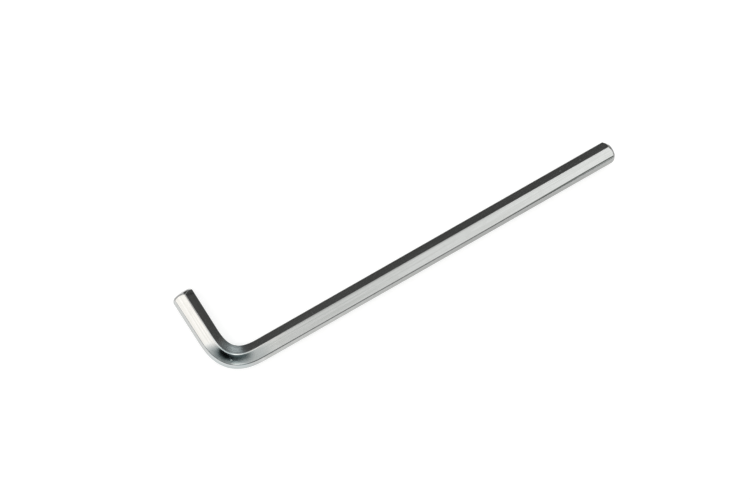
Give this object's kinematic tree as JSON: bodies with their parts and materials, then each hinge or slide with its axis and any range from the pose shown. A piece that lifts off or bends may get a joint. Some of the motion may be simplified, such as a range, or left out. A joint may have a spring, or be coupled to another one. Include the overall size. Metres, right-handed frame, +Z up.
{
  "type": "long hex key",
  "caption": "Hexagonal steel bar bent square, with a long and a short arm and chamfered ends, for turning hexagon socket screws.",
  "frame": {"origin": "centre of the overall box at its bottom, on the surface that the key lies on", "axes": "+X along the long arm away from the bend, +Y along the short arm away from the bend, +Z up, square to the plane of the bend"},
  "size_m": [0.224, 0.05, 0.01],
  "materials": {
    "plated_steel": "bright nickel plate over drawn bar, fine drawing lines along the bar"
  },
  "bodies": {
    "root": {"hex_key": "plated_steel"}
  },
  "joints": []
}
